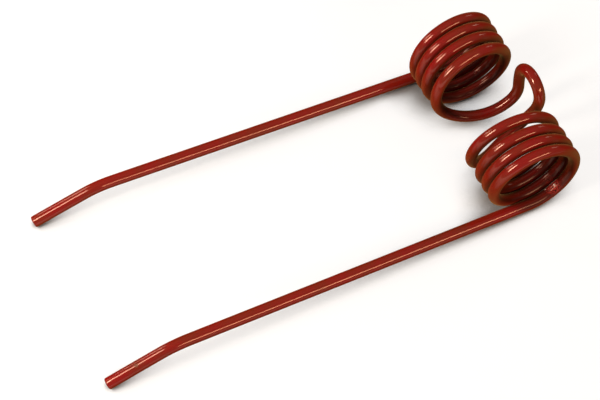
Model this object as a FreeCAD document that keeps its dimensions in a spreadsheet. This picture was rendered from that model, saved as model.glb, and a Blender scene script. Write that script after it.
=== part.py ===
import FreeCAD, Part
import math
import os
import Sketcher
from FreeCAD import Placement, Rotation, Vector

# Double torsion tine for a hay pick-up, formed from one length of round spring steel wire.
# From each tip a long arm runs to a coil. The two coils have opposite hands and share one axis.
# Between them the wire dips under the axis, closes in to a neck and rises over a round-topped
# eye, which takes the clamping bolt.
#
# One half is drawn first, with the coil axis on Y, the arm along +X under the coil and the eye
# on the -X side. It is mirrored in the middle plane between the arms, and the finished tine is
# laid down on its tips and the undersides of its coils.

# Driving dimensions in millimetres and degrees. Heights and reaches are to the wire's centre line.
SIZES = (
    ("wire_dia", 5.5, "diameter of the wire"),
    ("coil_radius", 20.0, "coil axis to the wire in the coil"),
    ("coil_turns", 3.83, "turns from the arm to the inner end of the coil"),
    ("coil_pitch", 6.05, "axial advance of one turn"),
    ("coil_offset", 16.4, "middle plane to the inner end of the coil"),
    ("last_turn_stretch", 3.4, "extra axial advance of the innermost turn"),
    ("run_in_angle", 45.0, "stretch of the coil in which the arm takes up the pitch"),
    ("arm_length", 173.0, "straight part of the arm, from the coil to the bend"),
    ("arm_splay", 0.4, "outward lean of each arm"),
    ("bend_radius", 37.5, "radius of the bend before the tip"),
    ("bend_angle", 21.0, "downward turn of the tip"),
    ("tip_length", 26.3, "straight part beyond the bend"),
    ("tip_chamfer", 0.6, "broken edge round the cut end"),
    ("neck_half_gap", 6.4, "middle plane to the wire at the neck of the eye"),
    ("neck_reach", 16.5, "coil axis back to the neck"),
    ("neck_drop", 7.8, "coil axis down to the neck"),
    ("neck_slope", 49.5, "climb of the wire at the neck"),
    ("eye_radius", 8.8, "radius of the round top of the eye"),
    ("eye_reach", 18.7, "coil axis back to the centre of the round top"),
    ("eye_height", 9.1, "coil axis up to the centre of the round top"),
    ("eye_lean", 5.7, "lean of the eye towards the tips"),
)

# Tangent arcs that follow the coil's run: two between each pair of stations
STATIONS_PER_TURN = 4

DOWN = Vector(0, 0, -1)

doc = FreeCAD.newDocument("pickup_tine")


def make_sheet():
    table = doc.addObject("Spreadsheet::Sheet", "Sizes")
    for row, (alias, value, meaning) in enumerate(SIZES, start=1):
        table.set("A%d" % row, meaning)
        table.set("B%d" % row, str(value))
        table.setAlias("B%d" % row, alias)
    doc.recompute()
    return table


sheet = make_sheet()


def size(alias):
    return float(sheet.get(alias))


def angle(alias):
    return math.radians(size(alias))


# Curves through space

def tangent_arc(start, heading, end):
    """Circular arc from start to end that leaves start along heading."""
    chord = end - start
    along = chord.dot(heading)
    aside = chord - heading * along
    half_turn = math.atan2(aside.Length, along)
    radius = chord.Length / (2 * math.sin(half_turn))
    inward = aside.normalize()
    middle = start + heading * (radius * math.sin(half_turn)) + inward * (radius * (1 - math.cos(half_turn)))
    return Part.Arc(start, middle, end).toShape()


def tangent_pair(start, heading, end, leaving):
    """Two arcs of equal reach from start to end, tangent to both headings and to each other."""
    gap = end - start
    along = gap.dot(heading + leaving)
    turning = 2 * (1 - heading.dot(leaving))
    reach = (math.sqrt(along ** 2 + turning * gap.dot(gap)) - along) / turning
    joint = (start + heading * reach + end - leaving * reach) * 0.5
    return [tangent_arc(start, heading, joint), tangent_arc(end, leaving * -1, joint)]


# Coil

def coil_advance(turned):
    """Axial advance, and its rate, after the wire has turned this far in from the arm."""
    run_in = angle("run_in_angle")
    full_turn = 2 * math.pi
    arm_rate = size("coil_radius") * math.tan(angle("arm_splay"))
    coil_rate = size("coil_pitch") / full_turn
    taken_up = min(turned, run_in)
    advance = arm_rate * taken_up + (coil_rate - arm_rate) * taken_up ** 2 / (2 * run_in)
    rate = arm_rate + (coil_rate - arm_rate) * taken_up / run_in
    advance += coil_rate * (turned - taken_up)
    last_turn = max(0, turned / full_turn - size("coil_turns") + 1)
    advance += size("last_turn_stretch") * last_turn ** 2
    rate += size("last_turn_stretch") * 2 * last_turn / full_turn
    return advance, rate


def coil_station(turned):
    """Place and heading of the wire in the coil after this turn in from the arm."""
    radius = size("coil_radius")
    whole_advance, _ = coil_advance(2 * math.pi * size("coil_turns"))
    advance, rate = coil_advance(turned)
    across = size("coil_offset") + whole_advance - advance
    place = Vector(-radius * math.sin(turned), across, -radius * math.cos(turned))
    heading = Vector(-radius * math.cos(turned), -rate, radius * math.sin(turned))
    return place, heading.normalize()


def coil_edges():
    count = math.ceil(STATIONS_PER_TURN * size("coil_turns"))
    step = 2 * math.pi * size("coil_turns") / count
    stations = [coil_station(step * number) for number in range(count + 1)]
    edges = []
    for (start, heading), (end, leaving) in zip(stations, stations[1:]):
        edges += tangent_pair(start, heading, end, leaving)
    return edges


# Arm and tip

def arm_stations():
    """Coil end, both ends of the bend and the cut end, with the heading at the cut end."""
    root, heading = coil_station(0)
    out = heading * -1
    turn = angle("bend_angle")
    radius = size("bend_radius")
    bend_start = root + out * size("arm_length")
    bend_end = bend_start + out * (radius * math.sin(turn)) + DOWN * (radius * (1 - math.cos(turn)))
    tip_heading = out * math.cos(turn) + DOWN * math.sin(turn)
    tip = bend_end + tip_heading * size("tip_length")
    return root, bend_start, bend_end, tip, out, tip_heading


def arm_edges():
    root, bend_start, bend_end, tip, out, _ = arm_stations()
    return [
        Part.LineSegment(root, bend_start).toShape(),
        tangent_arc(bend_start, out, bend_end),
        Part.LineSegment(bend_end, tip).toShape(),
    ]


# Lead from the coil, neck and eye

def eye_top():
    """Highest point of the wire, where it crosses the middle plane, and the eye's up direction."""
    lean = angle("eye_lean")
    up = Vector(math.sin(lean), 0, math.cos(lean))
    centre = Vector(-size("eye_reach"), 0, size("eye_height"))
    return centre, up, centre + up * size("eye_radius")


def eye_edges():
    inner_end, heading = coil_station(2 * math.pi * size("coil_turns"))
    slope = angle("neck_slope")
    neck = Vector(-size("neck_reach"), size("neck_half_gap"), -size("neck_drop"))
    climb = Vector(-math.cos(slope), 0, math.sin(slope))
    centre, up, top = eye_top()
    shoulder = centre + Vector(0, size("eye_radius"), 0)
    edges = tangent_pair(inner_end, heading, neck, climb)
    edges += tangent_pair(neck, climb, shoulder, up)
    edges.append(tangent_arc(shoulder, up, top))
    return edges


def make_centre_line():
    """Centre line of one half, from the top of the eye to the cut end of the arm."""
    line = doc.addObject("Part::Feature", "CentreLine")
    edges = arm_edges() + coil_edges() + eye_edges()
    line.Shape = Part.Wire(Part.__sortEdges__(edges))
    return line


# Solid tine

def origin_plane(body, role):
    for plane in body.Origin.OriginFeatures:
        if plane.Role == role:
            return plane
    raise ValueError("no origin plane " + role)


def make_section(body):
    """Round section of the wire in the middle plane, at the top of the eye."""
    sketch = body.newObject("Sketcher::SketchObject", "WireSection")
    sketch.AttachmentSupport = [(origin_plane(body, "XZ_Plane"), "")]
    sketch.MapMode = "FlatFace"
    _, _, top = eye_top()
    circle = Part.Circle(Vector(top.x, top.z, 0), Vector(0, 0, 1), size("wire_dia") / 2)
    ring = sketch.addGeometry(circle, False)
    centre_of, origin = (ring, 3), (-1, 1)
    rules = (
        (Sketcher.Constraint("Diameter", ring, size("wire_dia")), "Sizes.wire_dia"),
        (Sketcher.Constraint("DistanceX", *centre_of, *origin, -top.x),
         "Sizes.eye_reach - Sizes.eye_radius * sin(Sizes.eye_lean * 1 deg)"),
        (Sketcher.Constraint("DistanceY", *origin, *centre_of, top.z),
         "Sizes.eye_height + Sizes.eye_radius * cos(Sizes.eye_lean * 1 deg)"),
    )
    for constraint, expression in rules:
        index = sketch.addConstraint(constraint)
        sketch.setExpression("Constraints[%d]" % index, expression)
    return sketch


def cut_end_edges(shape):
    """Name of the round edge of the cut end."""
    tip = arm_stations()[3]
    names = []
    for number, edge in enumerate(shape.Edges, start=1):
        if edge.BoundBox.Center.distanceToPoint(tip) < size("tip_chamfer") / 2:
            names.append("Edge%d" % number)
    return names


def make_tine(line):
    body = doc.addObject("PartDesign::Body", "spring_tine")
    body.Label = "spring_tine"

    path = body.newObject("PartDesign::SubShapeBinder", "WirePath")
    path.Relative = False
    path.Support = [(line, ("",))]
    section = make_section(body)
    doc.recompute()

    half = body.newObject("PartDesign::AdditivePipe", "HalfTine")
    half.Profile = section
    half.Spine = (path, [])
    doc.recompute()

    end = body.newObject("PartDesign::Chamfer", "CutEnd")
    end.Base = (half, cut_end_edges(half.Shape))
    end.setExpression("Size", "Sizes.tip_chamfer")
    body.Tip = end
    doc.recompute()

    both = body.newObject("PartDesign::Mirrored", "BothHalves")
    both.TransformMode = "Whole shape"
    both.MirrorPlane = (origin_plane(body, "XZ_Plane"), [""])
    body.Tip = both
    doc.recompute()
    return body


def resting_placement(body):
    """Turn the tine down on to its tips and coils, with the origin on the floor under its middle."""
    wire_radius = size("wire_dia") / 2
    _, _, _, tip, out, heading = arm_stations()
    under = DOWN * math.cos(angle("bend_angle")) - out * math.sin(angle("bend_angle"))
    heel = tip - heading * size("tip_chamfer") + under * wire_radius
    coil_underside = size("coil_radius") + wire_radius
    drop = math.atan2(-heel.z, heel.x)
    tilt = drop - math.asin(coil_underside / math.hypot(heel.x, heel.z))
    turn = Rotation(Vector(0, 1, 0), -math.degrees(tilt))
    laid = body.Shape.copy()
    laid.Placement = Placement(Vector(), turn)
    box = laid.optimalBoundingBox(False, False)
    return Placement(Vector(-box.Center.x, 0, -box.ZMin), turn)


def check(body, line):
    for item in doc.Objects:
        if "Invalid" in item.State or "Error" in item.State:
            raise RuntimeError(item.Name + " failed: " + ", ".join(item.State))
    shape = body.Shape
    if shape.isNull() or not shape.isValid() or len(shape.Solids) != 1:
        raise RuntimeError("the tine is not one valid solid")
    section_area = math.pi * size("wire_dia") ** 2 / 4
    swept = 2 * section_area * line.Shape.Length
    print("volume %.2f, section times length %.2f" % (shape.Volume, swept))
    box = shape.optimalBoundingBox(False, False)
    print("box %.3f %.3f %.3f to %.3f %.3f %.3f"
          % (box.XMin, box.YMin, box.ZMin, box.XMax, box.YMax, box.ZMax))


centre_line = make_centre_line()
tine = make_tine(centre_line)
tine.Placement = resting_placement(tine)
doc.recompute()
check(tine, centre_line)

os.makedirs("parts", exist_ok=True)
tine.Shape.exportStep("parts/" + tine.Label + ".step")
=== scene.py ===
import math

import bpy
from bpy.props import FloatProperty, FloatVectorProperty, IntProperty, PointerProperty
from mathutils import Matrix, Vector


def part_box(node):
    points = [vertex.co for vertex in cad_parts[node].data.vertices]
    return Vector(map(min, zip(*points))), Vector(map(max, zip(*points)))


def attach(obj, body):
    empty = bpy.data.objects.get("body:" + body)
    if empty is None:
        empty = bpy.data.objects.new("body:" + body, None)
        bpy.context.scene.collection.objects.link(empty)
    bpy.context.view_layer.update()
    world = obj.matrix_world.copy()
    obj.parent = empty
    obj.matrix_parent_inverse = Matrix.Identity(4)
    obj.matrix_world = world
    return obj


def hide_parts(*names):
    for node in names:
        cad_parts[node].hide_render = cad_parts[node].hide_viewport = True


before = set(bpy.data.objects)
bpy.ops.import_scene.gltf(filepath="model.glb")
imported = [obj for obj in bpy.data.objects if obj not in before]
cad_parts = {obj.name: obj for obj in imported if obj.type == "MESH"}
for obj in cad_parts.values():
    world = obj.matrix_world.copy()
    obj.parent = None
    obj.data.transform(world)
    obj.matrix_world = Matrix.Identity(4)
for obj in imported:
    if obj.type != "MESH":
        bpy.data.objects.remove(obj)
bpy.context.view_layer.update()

# Gloss brick-red finish of a double torsion tine: two coils on one axis, a round-topped bolt eye
# between them and two long arms with bent tips. The wire is swept ring by ring along straight runs
# and tangent arcs, in a drawing frame with the coil axis on Y, and is then laid on its solid.

bl_info = {
    "name": "Painted pick-up tine",
    "version": (1, 0, 0),
    "blender": (4, 5, 0),
    "location": "View3D > Sidebar > Tine",
    "description": "Sweeps and paints the wire of a double torsion tine, and lights it",
    "category": "Object",
}

TINE_NODE = "spring_tine"
MM = 0.001

solid_low, solid_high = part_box(TINE_NODE)


# Sizes and colours

class TineWireSizes(bpy.types.PropertyGroup):
    """Sizes of the wire, to its centre line"""

    wire_diameter: FloatProperty(
        name="Wire diameter", description="Thickness of the round wire",
        default=5.5 * MM, unit="LENGTH", precision=5)
    coil_radius: FloatProperty(
        name="Coil radius", description="Coil axis to the wire in the coil",
        default=20.0 * MM, unit="LENGTH", precision=5)
    coil_turns: FloatProperty(
        name="Coil turns", description="Turns from the arm to the inner end of the coil",
        default=3.83)
    coil_pitch: FloatProperty(
        name="Coil pitch", description="Axial advance of one turn",
        default=6.05 * MM, unit="LENGTH", precision=5)
    coil_offset: FloatProperty(
        name="Coil offset", description="Middle plane to the inner end of the coil",
        default=16.4 * MM, unit="LENGTH", precision=5)
    last_turn_stretch: FloatProperty(
        name="Last turn stretch", description="Extra axial advance of the innermost turn",
        default=3.4 * MM, unit="LENGTH", precision=5)
    run_in_angle: FloatProperty(
        name="Run-in angle", description="Stretch of the coil in which the arm takes up the pitch",
        default=math.radians(45.0), subtype="ANGLE")
    arm_length: FloatProperty(
        name="Arm length", description="Straight part of the arm, from the coil to the bend",
        default=173.0 * MM, unit="LENGTH", precision=5)
    arm_splay: FloatProperty(
        name="Arm splay", description="Outward lean of each arm",
        default=math.radians(0.4), subtype="ANGLE")
    bend_radius: FloatProperty(
        name="Bend radius", description="Radius of the bend before the tip",
        default=37.5 * MM, unit="LENGTH", precision=5)
    bend_angle: FloatProperty(
        name="Bend angle", description="Downward turn of the tip",
        default=math.radians(21.0), subtype="ANGLE")
    tip_length: FloatProperty(
        name="Tip length", description="Straight part beyond the bend",
        default=26.3 * MM, unit="LENGTH", precision=5)
    tip_edge: FloatProperty(
        name="Tip edge", description="Worn round on the edge of the cut end",
        default=0.6 * MM, unit="LENGTH", precision=5)
    neck_half_gap: FloatProperty(
        name="Neck half gap", description="Middle plane to the wire at the neck of the eye",
        default=6.4 * MM, unit="LENGTH", precision=5)
    neck_reach: FloatProperty(
        name="Neck reach", description="Coil axis back to the neck",
        default=16.5 * MM, unit="LENGTH", precision=5)
    neck_drop: FloatProperty(
        name="Neck drop", description="Coil axis down to the neck",
        default=7.8 * MM, unit="LENGTH", precision=5)
    neck_slope: FloatProperty(
        name="Neck slope", description="Climb of the wire at the neck",
        default=math.radians(49.5), subtype="ANGLE")
    eye_radius: FloatProperty(
        name="Eye radius", description="Radius of the round top of the eye",
        default=8.8 * MM, unit="LENGTH", precision=5)
    eye_reach: FloatProperty(
        name="Eye reach", description="Coil axis back to the centre of the round top",
        default=18.7 * MM, unit="LENGTH", precision=5)
    eye_height: FloatProperty(
        name="Eye height", description="Coil axis up to the centre of the round top",
        default=9.1 * MM, unit="LENGTH", precision=5)
    eye_lean: FloatProperty(
        name="Eye lean", description="Lean of the eye towards the tips",
        default=math.radians(5.7), subtype="ANGLE")
    ring_points: IntProperty(
        name="Ring points", description="Points round the wire's section",
        default=40, min=12)
    ring_step: FloatProperty(
        name="Ring step", description="Longest step from ring to ring along a curve",
        default=1.4 * MM, unit="LENGTH", precision=5)
    straight_step: FloatProperty(
        name="Straight step", description="Longest step from ring to ring along a straight run",
        default=6.0 * MM, unit="LENGTH", precision=5)


class TinePaintLook(bpy.types.PropertyGroup):
    """Colours, wear, painted shade and reflections, and gloss of the paint"""

    red: FloatVectorProperty(
        name="Paint red", description="Full coat of the paint",
        default=(0.285, 0.006, 0.005), subtype="COLOR", size=3, min=0, max=1)
    thin_red: FloatVectorProperty(
        name="Thin paint", description="Where the coat is thin and the primer shows through",
        default=(0.22, 0.016, 0.005), subtype="COLOR", size=3, min=0, max=1)
    # Painted reflection: a warmer, browner red on the underside of the wire stands in for warm light
    # reflected there
    underside_reflection_red: FloatVectorProperty(
        name="Low paint", description="On the underside of the wire, where primer shows through",
        default=(0.27, 0.034, 0.011), subtype="COLOR", size=3, min=0, max=1)
    # Painted shade: near-black red inside the coils and between their turns stands in for their shadow; the
    # same colour also darkens the base of the scuff
    painted_shade_and_scuff_red: FloatVectorProperty(
        name="Sheltered paint", description="Inside the coils, between their turns and in the scuff",
        default=(0.030, 0.004, 0.002), subtype="COLOR", size=3, min=0, max=1)
    scuffed_red: FloatVectorProperty(
        name="Scuffed paint", description="Where the coat has been rubbed matt and bright",
        default=(0.48, 0.028, 0.018), subtype="COLOR", size=3, min=0, max=1)
    chip: FloatVectorProperty(
        name="Chip", description="Pale filler laid bare where the coat is chipped off",
        default=(0.95, 0.62, 0.50), subtype="COLOR", size=3, min=0, max=1)
    # Painted reflection: an olive-brown tone on the backs of the coils and of the eye stands in for warm
    # light reflected there
    back_reflection_brown: FloatVectorProperty(
        name="Back brown", description="Dull tone on the backs of the coils and of the eye",
        default=(0.20, 0.085, 0.026), subtype="COLOR", size=3, min=0, max=1)
    nick: FloatVectorProperty(
        name="Nick", description="Brown steel laid bare on the tip",
        default=(0.15, 0.035, 0.010), subtype="COLOR", size=3, min=0, max=1)
    back_azimuth: FloatProperty(
        name="Back azimuth", description="Side that the dull backs face, from +X towards +Y",
        default=math.radians(130.0), subtype="ANGLE")
    scuff_place: FloatVectorProperty(
        name="Scuff place", description="Middle of the scuffed patch on the near coil",
        default=(-106.4 * MM, 41.6 * MM, 9.9 * MM), subtype="TRANSLATION", size=3, precision=4)
    scuff_reach: FloatProperty(
        name="Scuff reach", description="How far the scuffed patch spreads",
        default=4.4 * MM, unit="LENGTH", precision=5)
    first_chip_place: FloatVectorProperty(
        name="First chip place", description="Middle of the larger chip",
        default=(-107.3 * MM, 41.9 * MM, 10.0 * MM), subtype="TRANSLATION", size=3, precision=4)
    second_chip_place: FloatVectorProperty(
        name="Second chip place", description="Middle of the smaller chip",
        default=(-103.8 * MM, 40.9 * MM, 7.0 * MM), subtype="TRANSLATION", size=3, precision=4)
    chip_reach: FloatProperty(
        name="Chip reach", description="How far the larger chip spreads",
        default=0.8 * MM, unit="LENGTH", precision=5)
    small_chip_reach: FloatProperty(
        name="Small chip reach", description="How far the smaller chip spreads",
        default=0.56 * MM, unit="LENGTH", precision=5)
    nick_place: FloatVectorProperty(
        name="Nick place", description="Middle of the nick on the near tip",
        default=(103.3 * MM, 44.4 * MM, 9.4 * MM), subtype="TRANSLATION", size=3, precision=4)
    nick_reach: FloatProperty(
        name="Nick reach", description="How far the nick spreads",
        default=1.0 * MM, unit="LENGTH", precision=5)
    gloss: FloatProperty(
        name="Gloss", description="Strength of the reflections where the wire is faced squarely",
        default=0.9, min=0, max=1)
    # Gloss kept in the painted shade inside the coils and between their turns
    painted_shade_gloss: FloatProperty(
        name="Sheltered gloss", description="Share of the gloss that sheltered paint keeps",
        default=0.4, min=0, max=1)
    gloss_tint: FloatVectorProperty(
        name="Gloss tint", description="Colour that the paint gives to its reflections",
        default=(1.0, 0.60, 0.45), subtype="COLOR", size=3, min=0, max=1)
    sheen: FloatProperty(
        name="Sheen", description="Strength of the bloom along the edges of the wire",
        default=0.35, min=0, max=1)
    sheen_spread: FloatProperty(
        name="Sheen spread", description="How far the bloom comes in from the edges",
        default=0.35, min=0, max=1)
    sheen_tint: FloatVectorProperty(
        name="Sheen tint", description="Colour of the bloom",
        default=(0.95, 0.70, 0.26), subtype="COLOR", size=3, min=0, max=1)


class TineStageLook(bpy.types.PropertyGroup):
    """Camera, lamps and floor"""

    aim: FloatVectorProperty(
        name="Aim", description="Point that the camera looks at",
        default=(6.5 * MM, 4.9 * MM, 20.0 * MM), subtype="TRANSLATION", size=3, precision=4)
    distance: FloatProperty(
        name="Distance", description="Camera to the point that it looks at",
        default=0.689, unit="LENGTH")
    azimuth: FloatProperty(
        name="Azimuth", description="Side of the tine that the camera stands on, from +X towards +Y",
        default=math.radians(60.4), subtype="ANGLE")
    elevation: FloatProperty(
        name="Elevation", description="Height of the camera above the floor, as an angle",
        default=math.radians(59.6), subtype="ANGLE")
    roll: FloatProperty(
        name="Roll", description="Turn of the camera about its line of sight",
        default=math.radians(4.33), subtype="ANGLE")
    lens: FloatProperty(
        name="Lens", description="Focal length on a 36 mm wide sensor",
        default=91.74, unit="CAMERA")
    floor: FloatVectorProperty(
        name="Floor", description="Colour of the matt floor",
        default=(0.32, 0.31, 0.30), subtype="COLOR", size=3, min=0, max=1)
    floor_size: FloatProperty(
        name="Floor size", description="Side of the square floor",
        default=6.0, unit="LENGTH")
    floor_lift: FloatProperty(
        name="Floor lift", description="White added where the floor is looked at",
        default=0.78)
    shadow_reach: FloatProperty(
        name="Shadow reach", description="How far the tine shades the white of the floor",
        default=0.02, unit="LENGTH")
    room_light: FloatProperty(
        name="Room light", description="Even light from all round",
        default=0.22)
    lamp_tint: FloatVectorProperty(
        name="Lamp tint", description="Colour of the lamps",
        default=(1.0, 0.93, 0.84), subtype="COLOR", size=3, min=0, max=1)
    warm_tint: FloatVectorProperty(
        name="Warm tint", description="Colour of the lamps with a warmer light",
        default=(1.0, 0.74, 0.51), subtype="COLOR", size=3, min=0, max=1)


# Soft lamps: name, middle, width, height, brightness of the face, and which tint
LAMPS = (
    ("front_lamp", (0.91, 0.06, 0.68), 0.17, 0.50, 14, "lamp_tint"),
    ("window_lamp", (0.675, -0.39, 0.45), 0.70, 0.18, 2, "warm_tint"),
    ("tip_lamp", (0.282, 0.0, 0.316), 0.09, 0.18, 12, "lamp_tint"),
    ("far_side_lamp", (0.20, -0.33, 0.17), 0.08, 0.16, 10, "lamp_tint"),
    ("near_side_lamp", (-0.24, 0.75, 0.48), 0.60, 0.14, 12, "warm_tint"),
    ("eye_lamp", (-0.505, -0.15, 0.26), 0.10, 0.20, 6, "lamp_tint"),
)


# Centre line of one half, in the drawing frame: each leg is a straight run or an arc

DOWN = Vector((0, 0, -1))
FULL_TURN = 2 * math.pi
STATIONS_PER_TURN = 4


def arc_leg(start, heading, end):
    """Arc from start to end that leaves start along heading."""
    chord = end - start
    along = chord.dot(heading)
    aside = chord - heading * along
    half_turn = math.atan2(aside.length, along)
    inward = aside.normalized()
    radius = chord.length / (2 * math.sin(half_turn))
    return {"centre": start + inward * radius, "axis": heading.cross(inward),
            "angle": 2 * half_turn, "radius": radius}


def run_leg(start, end):
    return {"shift": end - start}


def arc_pair(start, heading, end, leaving):
    """Two arcs of equal reach from start to end, tangent to both headings and to each other."""
    gap = end - start
    along = gap.dot(heading + leaving)
    turning = 2 * (1 - heading.dot(leaving))
    reach = (math.sqrt(along ** 2 + turning * gap.dot(gap)) - along) / turning
    joint = (start + heading * reach + end - leaving * reach) * 0.5
    first = arc_leg(start, heading, joint)
    back = arc_leg(end, -leaving, joint)
    second = dict(back, axis=-back["axis"])
    return [first, second]


def coil_advance(wire, turned):
    """Axial advance, and its rate, after the wire has turned this far in from the arm."""
    arm_rate = wire.coil_radius * math.tan(wire.arm_splay)
    coil_rate = wire.coil_pitch / FULL_TURN
    taken_up = min(turned, wire.run_in_angle)
    advance = arm_rate * taken_up + (coil_rate - arm_rate) * taken_up ** 2 / (2 * wire.run_in_angle)
    rate = arm_rate + (coil_rate - arm_rate) * taken_up / wire.run_in_angle
    advance += coil_rate * (turned - taken_up)
    last_turn = max(0, turned / FULL_TURN - wire.coil_turns + 1)
    advance += wire.last_turn_stretch * last_turn ** 2
    rate += wire.last_turn_stretch * 2 * last_turn / FULL_TURN
    return advance, rate


def coil_station(wire, turned):
    """Place and inward heading of the wire in the coil after this turn in from the arm."""
    radius = wire.coil_radius
    whole_advance, _ = coil_advance(wire, FULL_TURN * wire.coil_turns)
    advance, rate = coil_advance(wire, turned)
    across = wire.coil_offset + whole_advance - advance
    place = Vector((-radius * math.sin(turned), across, -radius * math.cos(turned)))
    heading = Vector((-radius * math.cos(turned), -rate, radius * math.sin(turned)))
    return place, heading.normalized()


def eye_stations(wire):
    """Top, shoulder and neck of the eye, with the eye's up direction and the climb at the neck."""
    up = Vector((math.sin(wire.eye_lean), 0, math.cos(wire.eye_lean)))
    centre = Vector((-wire.eye_reach, 0, wire.eye_height))
    top = centre + up * wire.eye_radius
    shoulder = centre + Vector((0, wire.eye_radius, 0))
    neck = Vector((-wire.neck_reach, wire.neck_half_gap, -wire.neck_drop))
    climb = Vector((-math.cos(wire.neck_slope), 0, math.sin(wire.neck_slope)))
    return top, shoulder, neck, up, climb


def eye_legs(wire):
    """From the top of the eye down to the inner end of the coil."""
    top, shoulder, neck, up, climb = eye_stations(wire)
    inner_end, heading = coil_station(wire, FULL_TURN * wire.coil_turns)
    legs = [arc_leg(top, Vector((0, 1, 0)), shoulder)]
    legs += arc_pair(shoulder, -up, neck, -climb)
    legs += arc_pair(neck, -climb, inner_end, -heading)
    return legs


def coil_legs(wire):
    """From the inner end of the coil out to the arm."""
    count = math.ceil(STATIONS_PER_TURN * wire.coil_turns)
    step = FULL_TURN * wire.coil_turns / count
    stations = [coil_station(wire, step * number) for number in range(count, -1, -1)]
    legs = []
    for (start, heading), (end, leaving) in zip(stations, stations[1:]):
        legs += arc_pair(start, -heading, end, -leaving)
    return legs


def arm_stations(wire):
    """Coil end, both ends of the bend and the cut end, with the headings of the arm and the tip."""
    root, heading = coil_station(wire, 0)
    out = -heading
    turn = wire.bend_angle
    bend_start = root + out * wire.arm_length
    bend_end = (bend_start + out * (wire.bend_radius * math.sin(turn))
                + DOWN * (wire.bend_radius * (1 - math.cos(turn))))
    tip_heading = out * math.cos(turn) + DOWN * math.sin(turn)
    tip = bend_end + tip_heading * wire.tip_length
    return root, bend_start, bend_end, tip, out, tip_heading


def arm_legs(wire):
    """From the coil out to the cut end of the tip."""
    root, bend_start, bend_end, tip, out, _ = arm_stations(wire)
    return [run_leg(root, bend_start), arc_leg(bend_start, out, bend_end), run_leg(bend_end, tip)]


# Modelling helpers

def clear_selection():
    if bpy.context.object is not None and bpy.context.object.mode != "OBJECT":
        bpy.ops.object.mode_set(mode="OBJECT")
    bpy.ops.object.select_all(action="DESELECT")


def place_in_mesh():
    bpy.ops.object.transform_apply(location=True, rotation=True, scale=True)


def start_ring(wire, centre):
    """Ring of points round the wire where it crosses the middle plane, selected in edit mode."""
    clear_selection()
    bpy.ops.mesh.primitive_circle_add(
        vertices=wire.ring_points, radius=wire.wire_diameter / 2, fill_type="NOTHING",
        location=centre, rotation=(math.radians(90), 0, 0))
    place_in_mesh()
    bpy.ops.object.mode_set(mode="EDIT")
    bpy.ops.mesh.select_mode(type="EDGE")
    bpy.ops.mesh.select_all(action="SELECT")
    return bpy.context.object


def sweep_ring(wire, leg):
    """Carry the selected ring along one leg; the new end ring is left selected."""
    if "shift" in leg:
        steps = math.ceil(leg["shift"].length / wire.straight_step)
        for _ in range(steps):
            bpy.ops.mesh.extrude_region_move(TRANSFORM_OT_translate={"value": leg["shift"] / steps})
        return
    steps = math.ceil(leg["angle"] * leg["radius"] / wire.ring_step)
    bpy.ops.mesh.spin(steps=steps, dupli=False, angle=-leg["angle"], center=leg["centre"], axis=leg["axis"])


def close_cut_end(wire):
    """Flat cut face over the end ring, with its edge worn round."""
    bpy.ops.mesh.edge_face_add()
    bpy.ops.mesh.bevel(offset=wire.tip_edge, segments=3, affect="EDGES")


def join_halves(piece):
    """Mirror the swept half over the middle plane, and merge the halves where they meet."""
    mirror = piece.modifiers.new("OtherHalf", "MIRROR")
    mirror.use_axis = (False, True, False)
    mirror.merge_threshold = 0.01 * MM
    bpy.ops.object.modifier_apply(modifier=mirror.name)
    bpy.ops.object.mode_set(mode="EDIT")
    bpy.ops.mesh.select_all(action="SELECT")
    bpy.ops.mesh.remove_doubles(threshold=0.001 * MM)
    bpy.ops.mesh.normals_make_consistent(inside=False)
    bpy.ops.object.mode_set(mode="OBJECT")


def resting_tilt(wire):
    """Lean of the drawing frame when the tine lies on its tips and the undersides of its coils."""
    _, _, _, tip, out, tip_heading = arm_stations(wire)
    under = DOWN * math.cos(wire.bend_angle) - out * math.sin(wire.bend_angle)
    heel = tip - tip_heading * wire.tip_edge + under * wire.wire_diameter / 2
    coil_underside = wire.coil_radius + wire.wire_diameter / 2
    return math.atan2(-heel.z, heel.x) - math.asin(coil_underside / math.hypot(heel.x, heel.z))


def lay_on_solid(wire, piece):
    """Tilt the tine on to its tips and coils, and bring it over its solid."""
    piece.rotation_euler.y = -resting_tilt(wire)
    place_in_mesh()
    reach = [vertex.co.x for vertex in piece.data.vertices]
    lowest = min(vertex.co.z for vertex in piece.data.vertices)
    middle = (min(reach) + max(reach)) / 2
    piece.location = ((solid_low.x + solid_high.x) / 2 - middle, 0, solid_low.z - lowest)
    place_in_mesh()


# Shader helpers

def add_node(tree, kind, **settings):
    """Add a shader node; a setting named after an input socket goes to that socket."""
    node = tree.nodes.new(kind)
    for key, value in settings.items():
        if key in node.inputs:
            node.inputs[key].default_value = value
        else:
            setattr(node, key, value)
    return node


def map_range(tree, source, start, end, low=0.0, high=1.0):
    """Number that goes evenly from low at start to high at end of the source."""
    ramp = add_node(tree, "ShaderNodeMapRange")
    tree.links.new(source, ramp.inputs["Value"])
    for name, value in {"From Min": start, "From Max": end, "To Min": low, "To Max": high}.items():
        ramp.inputs[name].default_value = value
    return ramp.outputs["Result"]


def mix_colours(tree, factor, first, second):
    """Mix of two colours; the first may be the output of another mix."""
    mix = add_node(tree, "ShaderNodeMix", data_type="RGBA")
    tree.links.new(factor, mix.inputs["Factor"])
    if isinstance(first, bpy.types.NodeSocket):
        tree.links.new(first, mix.inputs["A"])
    else:
        mix.inputs["A"].default_value = (*first, 1)
    mix.inputs["B"].default_value = (*second, 1)
    return mix.outputs["Result"]


def number_math(tree, operation, *values):
    """Result of a calculation with outputs of the tree or plain numbers."""
    node = add_node(tree, "ShaderNodeMath", operation=operation)
    for socket, value in zip(node.inputs, values):
        if isinstance(value, bpy.types.NodeSocket):
            tree.links.new(value, socket)
        else:
            socket.default_value = value
    return node.outputs[0]


def multiply(tree, first, second):
    return number_math(tree, "MULTIPLY", first, second)


def larger(tree, first, second):
    return number_math(tree, "MAXIMUM", first, second)


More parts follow.
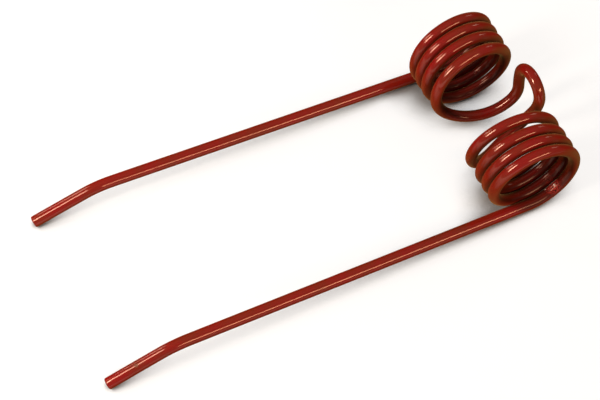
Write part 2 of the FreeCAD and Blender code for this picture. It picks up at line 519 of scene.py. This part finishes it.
def vector_math(tree, operation, vector, other=None):
    """Result of a calculation with an output of the tree and, where it is given, a fixed vector."""
    node = add_node(tree, "ShaderNodeVectorMath", operation=operation)
    tree.links.new(vector, node.inputs[0])
    if other is not None:
        node.inputs[1].default_value = other
    gives_number = operation in ("DISTANCE", "DOT_PRODUCT", "LENGTH")
    return node.outputs["Value" if gives_number else "Vector"]


def part_of(tree, vector, part):
    """One part of a vector: X, Y or Z."""
    parts = add_node(tree, "ShaderNodeSeparateXYZ")
    tree.links.new(vector, parts.inputs[0])
    return parts.outputs[part]


def noise(tree, place, **settings):
    """Cloudy pattern that stays fast on the piece."""
    pattern = add_node(tree, "ShaderNodeTexNoise", **settings)
    tree.links.new(place, pattern.inputs["Vector"])
    return pattern.outputs["Fac"]


def bump(tree, height, base=None, **settings):
    """Fine relief, over another one where a base is given."""
    relief = add_node(tree, "ShaderNodeBump", **settings)
    tree.links.new(height, relief.inputs["Height"])
    if base is not None:
        tree.links.new(base, relief.inputs["Normal"])
    return relief.outputs["Normal"]


# Where each tone, each kind of wear and each painted shade and reflection lies on the wire

# In reaches of a spot: where it is solid, where it ends, and how far the grain moves its edge
SPOT_SOLID = 0.7
SPOT_END = 1.1
SPOT_RAGGEDNESS = 1.6


def spot_mask(tree, place, middle, reach, grain):
    """1 in the middle of a spot and 0 beyond its reach, with an edge that the grain makes ragged."""
    mean_shift = SPOT_RAGGEDNESS / 2
    away = vector_math(tree, "DISTANCE", place, middle)
    ragged = number_math(tree, "MULTIPLY_ADD", grain, reach * SPOT_RAGGEDNESS, away)
    return map_range(tree, ragged, start=reach * (SPOT_END + mean_shift),
                     end=reach * (SPOT_SOLID + mean_shift))


def distance_from_axis(tree, place, wire):
    """How far a point lies from the axis of the coils."""
    coil_reach = wire.coil_radius + wire.wire_diameter / 2
    axis = (solid_low.x + coil_reach, 0, solid_low.z + coil_reach)
    across_axis = (1, 0, 1)
    offset = vector_math(tree, "SUBTRACT", place, axis)
    return vector_math(tree, "LENGTH", vector_math(tree, "MULTIPLY", offset, across_axis))


def inner_wall_shade_mask(tree, from_axis, aside, flank, wire):
    """1 in the grooves inside the coils, and less on the crests between them: where painted shade darkens
    the coat.
    """
    radius = wire.coil_radius
    crest_shade = 0.5
    inside = map_range(tree, from_axis, start=radius + 0.4 * MM, end=radius - 2.2 * MM)
    clear_of_eye = map_range(tree, aside, start=4 * MM, end=12 * MM)
    grooves = map_range(tree, flank, start=0.2, end=0.75, low=crest_shade)
    return multiply(tree, multiply(tree, inside, clear_of_eye), grooves)


def between_turns_shade_mask(tree, from_axis, aside, outward, wire):
    """1 on the sides of the turns that face the next turn, where painted shade darkens the coat."""
    slight, full = 0.45, 0.8
    edge = 0.5 * MM
    half_wire = wire.wire_diameter / 2
    coil_reach = wire.coil_radius + half_wire
    whole_advance, _ = coil_advance(wire, FULL_TURN * wire.coil_turns)
    first_turn, _ = coil_advance(wire, FULL_TURN)
    innermost = wire.coil_offset + wire.coil_pitch + wire.last_turn_stretch - half_wire
    outermost = wire.coil_offset + whole_advance - first_turn + half_wire

    # The outer side of the outermost turn and the inner side of the innermost one face no turn
    faces_out = map_range(tree, outward, start=slight, end=full)
    before_last = map_range(tree, aside, start=outermost + edge, end=outermost - edge)
    past_lead = map_range(tree, aside, start=wire.coil_offset + 1.6 * MM, end=wire.coil_offset + 3.1 * MM)
    outer_sides = multiply(tree, multiply(tree, faces_out, before_last), past_lead)
    faces_in = map_range(tree, outward, start=-slight, end=-full)
    past_first = map_range(tree, aside, start=innermost - edge, end=innermost + edge)
    inner_sides = multiply(tree, faces_in, past_first)
    in_coil = map_range(tree, from_axis, start=coil_reach + 0.45 * MM, end=coil_reach + 0.15 * MM)
    return multiply(tree, larger(tree, outer_sides, inner_sides), in_coil)


def painted_shade_mask(tree, place, facing, wire):
    """How deep the painted shade lies at a place inside the coils or between their turns, from 0 to 1."""
    between_turns_shade = 0.3
    from_axis = distance_from_axis(tree, place, wire)
    along_axis = part_of(tree, place, "Y")
    sideways = part_of(tree, facing, "Y")
    aside = number_math(tree, "ABSOLUTE", along_axis)
    flank = number_math(tree, "ABSOLUTE", sideways)
    outward = multiply(tree, number_math(tree, "SIGN", along_axis), sideways)
    inner_wall = inner_wall_shade_mask(tree, from_axis, aside, flank, wire)
    between = between_turns_shade_mask(tree, from_axis, aside, outward, wire)
    return larger(tree, inner_wall, multiply(tree, between, between_turns_shade))


def back_reflection_mask(tree, place, facing, look):
    """1 on the backs of the coils and of the eye, where a painted olive-brown reflection lies."""
    behind = map_range(tree, part_of(tree, place, "X"),
                       start=solid_low.x + 20 * MM, end=solid_low.x + 6 * MM)
    towards_back = vector_math(tree, "DOT_PRODUCT", facing, direction(look.back_azimuth, 0))
    return multiply(tree, behind, map_range(tree, towards_back, start=0.6, end=0.9))


def wear_and_painted_light_masks(tree, place, facing, patches, grain, wire, look):
    """Where each tone, each kind of wear and each painted shade and reflection lies, from 0 to 1."""
    return {
        "thin": map_range(tree, patches, start=0.35, end=0.65),
        # Underside of the wire, where the painted warm reflection lies
        "low": map_range(tree, part_of(tree, facing, "Z"), start=0.35, end=-0.1),
        # Backs of the coils and of the eye, where the painted reflection lies
        "back": back_reflection_mask(tree, place, facing, look),
        # Painted shade inside the coils and between their turns
        "painted_shade": painted_shade_mask(tree, place, facing, wire),
        "scuff": spot_mask(tree, place, look.scuff_place, look.scuff_reach, grain),
        "first_chip": spot_mask(tree, place, look.first_chip_place, look.chip_reach, grain),
        "second_chip": spot_mask(tree, place, look.second_chip_place, look.small_chip_reach, grain),
        "nick": spot_mask(tree, place, look.nick_place, look.nick_reach, grain),
    }


# Finishes

def paint_colour(tree, masks, grain, look):
    """Red of the coat, with each tone laid over the ones before it; some tones are painted shade and
    painted reflections.
    """
    rubbed = multiply(tree, masks["scuff"], map_range(tree, grain, start=0.44, end=0.52))
    # Where each tone lies, how far it covers what is under it, and its colour
    tones = (
        (masks["thin"], 1, look.thin_red),
        # Painted warm reflection on the undersides
        (masks["low"], 1, look.underside_reflection_red),
        # Painted olive-brown reflection on the backs
        (masks["back"], 0.75, look.back_reflection_brown),
        # Painted shade inside the coils and between their turns
        (masks["painted_shade"], 0.95, look.painted_shade_and_scuff_red),
        (masks["scuff"], 0.6, look.painted_shade_and_scuff_red),
        (rubbed, 1, look.scuffed_red),
        (masks["first_chip"], 1, look.chip),
        (masks["second_chip"], 1, look.chip),
        (masks["nick"], 1, look.nick),
    )
    colour = look.red
    for mask, cover, tone in tones:
        colour = mix_colours(tree, multiply(tree, mask, cover), colour, tone)
    return colour


def paint_roughness(tree, masks, patches):
    """Glossy where the coat is whole, and duller where it is rubbed, nicked or in the painted shade of the
    coils.
    """
    rough = map_range(tree, patches, start=0.3, end=0.7, low=0.06, high=0.13)
    for name, roughness in (("scuff", 0.25), ("nick", 0.6), ("painted_shade", 0.25)):
        rough = larger(tree, rough, multiply(tree, masks[name], roughness))
    return rough


def paint_gloss(tree, painted_shade, look):
    """Reflections that fade towards the edges of the wire, where they would only show the floor."""
    edge_on = add_node(tree, "ShaderNodeLayerWeight", Blend=0.5).outputs["Facing"]
    gloss = map_range(tree, edge_on, start=0.12, end=0.36, low=look.gloss, high=0)
    kept = map_range(tree, painted_shade, start=0, end=1, low=1, high=look.painted_shade_gloss)
    return multiply(tree, gloss, kept)


def gloss_paint(wire, look):
    """Gloss enamel: a slightly uneven coat, dark inside the coils by painted shade, with painted
    reflections on its undersides and backs, and with a scuff, chips and a nick.
    """
    material = bpy.data.materials.new("brick_red_enamel")
    material.use_nodes = True
    tree = material.node_tree
    shader = tree.nodes["Principled BSDF"]
    coordinates = add_node(tree, "ShaderNodeTexCoord")
    place, facing = coordinates.outputs["Object"], coordinates.outputs["Normal"]
    patches = noise(tree, place, Scale=90.0, Detail=3.0, Roughness=0.55)
    grain = noise(tree, place, Scale=1400.0, Detail=2.0)
    waves = noise(tree, place, Scale=160.0, Detail=1.0)
    masks = wear_and_painted_light_masks(tree, place, facing, patches, grain, wire, look)
    wavy = bump(tree, waves, Strength=0.5, Distance=0.08 * MM)
    everywhere = {
        "Specular IOR Level": look.gloss,
        "Specular Tint": (*look.gloss_tint, 1),
        "Sheen Weight": look.sheen,
        "Sheen Roughness": look.sheen_spread,
        "Sheen Tint": (*look.sheen_tint, 1),
    }
    for name, value in everywhere.items():
        shader.inputs[name].default_value = value
    by_place = {
        "Base Color": paint_colour(tree, masks, grain, look),
        "Roughness": paint_roughness(tree, masks, patches),
        "Specular IOR Level": paint_gloss(tree, masks["painted_shade"], look),
        "Normal": bump(tree, grain, wavy, Strength=0.06, Distance=0.1 * MM),
    }
    for name, source in by_place.items():
        tree.links.new(source, shader.inputs[name])
    return material


def white_for_camera(tree, strength):
    """Strength of a glow that only a direct, mirrored or see-through look at the surface meets."""
    path = add_node(tree, "ShaderNodeLightPath")
    looked_at = larger(tree, path.outputs["Is Camera Ray"], path.outputs["Is Glossy Ray"])
    looked_at = larger(tree, looked_at, path.outputs["Is Transmission Ray"])
    return multiply(tree, looked_at, strength)


def floor_material(look):
    """Pale matt floor that looks white, and keeps the shadow of what lies on it."""
    shaded, open_air = 0.42, 0.78
    material = bpy.data.materials.new("pale_floor")
    material.use_nodes = True
    tree = material.node_tree
    tree.nodes.remove(tree.nodes["Principled BSDF"])
    matt = add_node(tree, "ShaderNodeBsdfDiffuse", Color=(*look.floor, 1))
    glow = add_node(tree, "ShaderNodeEmission")
    # The white glow fades by ambient occlusion near the tine: a painted shadow over the floor's real one
    openness = add_node(tree, "ShaderNodeAmbientOcclusion", samples=12, Distance=look.shadow_reach)
    unshaded = map_range(tree, openness.outputs["AO"], start=shaded, end=open_air)
    lift = multiply(tree, white_for_camera(tree, look.floor_lift), unshaded)
    tree.links.new(lift, glow.inputs["Strength"])
    both = add_node(tree, "ShaderNodeAddShader")
    for source, socket in zip((matt, glow), both.inputs):
        tree.links.new(source.outputs[0], socket)
    tree.links.new(both.outputs[0], tree.nodes["Material Output"].inputs["Surface"])
    return material


def set_world(look):
    """Even studio light."""
    world = bpy.data.worlds.new("studio")
    world.use_nodes = True
    background = world.node_tree.nodes["Background"]
    background.inputs["Color"].default_value = (1, 1, 1, 1)
    background.inputs["Strength"].default_value = look.room_light
    bpy.context.scene.world = world


# Stage

def direction(azimuth, elevation):
    """Unit vector at this angle from +X towards +Y, and up from the floor."""
    level = math.cos(elevation)
    return Vector((level * math.cos(azimuth), level * math.sin(azimuth), math.sin(elevation)))


def look_along(line, roll=0.0):
    """Turn that points an object's -Z along a line, with its Y up but for the roll."""
    return (line.to_track_quat("-Z", "Y").to_matrix() @ Matrix.Rotation(roll, 3, "Z")).to_euler()


def hang_lamp(look, name, place, width, height, glow, tint):
    """Soft rectangular lamp that shines at the middle of the floor."""
    clear_selection()
    bpy.ops.object.light_add(type="AREA", location=place, rotation=look_along(-Vector(place)))
    light = bpy.context.object
    light.name = name
    light.visible_camera = False
    light.data.shape = "RECTANGLE"
    light.data.size, light.data.size_y = width, height
    light.data.energy = glow * math.pi * width * height
    light.data.color = getattr(look, tint)


def stand_camera(look):
    back = direction(look.azimuth, look.elevation)
    clear_selection()
    bpy.ops.object.camera_add(location=Vector(look.aim) + back * look.distance,
                              rotation=look_along(-back, look.roll))
    camera = bpy.context.object
    camera.data.lens = look.lens
    bpy.context.scene.camera = camera


# Operators

class TINE_OT_sweep_wire(bpy.types.Operator):
    """Sweep the painted wire of the tine and lay it over its solid"""

    bl_idname = "tine.sweep_wire"
    bl_label = "Sweep wire"

    def execute(self, context):
        wire = context.scene.tine_wire
        top = eye_stations(wire)[0]
        piece = start_ring(wire, top)
        piece.name = piece.data.name = "painted_wire"
        for leg in eye_legs(wire) + coil_legs(wire) + arm_legs(wire):
            sweep_ring(wire, leg)
        close_cut_end(wire)
        bpy.ops.object.mode_set(mode="OBJECT")
        join_halves(piece)
        bpy.ops.object.shade_smooth_by_angle(angle=math.radians(40))
        lay_on_solid(wire, piece)
        piece.data.materials.append(gloss_paint(wire, context.scene.tine_paint))
        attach(piece, "root")
        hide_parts(TINE_NODE)
        return {"FINISHED"}


class TINE_OT_set_stage(bpy.types.Operator):
    """Lay the floor, hang the lamps and stand the camera where the tine was seen from"""

    bl_idname = "tine.set_stage"
    bl_label = "Set stage"

    def execute(self, context):
        look = context.scene.tine_stage
        clear_selection()
        bpy.ops.mesh.primitive_plane_add(size=look.floor_size, location=(0, 0, solid_low.z))
        floor = context.object
        floor.name = "floor"
        floor.data.materials.append(floor_material(look))
        place_in_mesh()
        set_world(look)
        for lamp in LAMPS:
            hang_lamp(look, *lamp)
        stand_camera(look)
        context.scene.view_settings.view_transform = "Standard"
        return {"FINISHED"}


class TINE_PT_panel(bpy.types.Panel):
    """Sizes, colours and steps of the painted tine"""

    bl_idname = "TINE_PT_panel"
    bl_label = "Pick-up tine"
    bl_space_type = "VIEW_3D"
    bl_region_type = "UI"
    bl_category = "Tine"

    def draw(self, context):
        scene = context.scene
        for step in STEPS:
            self.layout.operator(step.bl_idname)
        for group in (scene.tine_wire, scene.tine_paint, scene.tine_stage):
            box = self.layout.box()
            for name in group.__annotations__:
                box.prop(group, name)


GROUPS = {"tine_wire": TineWireSizes, "tine_paint": TinePaintLook, "tine_stage": TineStageLook}
STEPS = (TINE_OT_sweep_wire, TINE_OT_set_stage)
CLASSES = (*GROUPS.values(), *STEPS, TINE_PT_panel)


def register():
    for each in CLASSES:
        bpy.utils.register_class(each)
    for name, group in GROUPS.items():
        setattr(bpy.types.Scene, name, PointerProperty(type=group))


def unregister():
    for name in GROUPS:
        delattr(bpy.types.Scene, name)
    for each in reversed(CLASSES):
        bpy.utils.unregister_class(each)


def main():
    register()
    bpy.ops.tine.sweep_wire()
    bpy.ops.tine.set_stage()


if __name__ == "__main__":
    main()
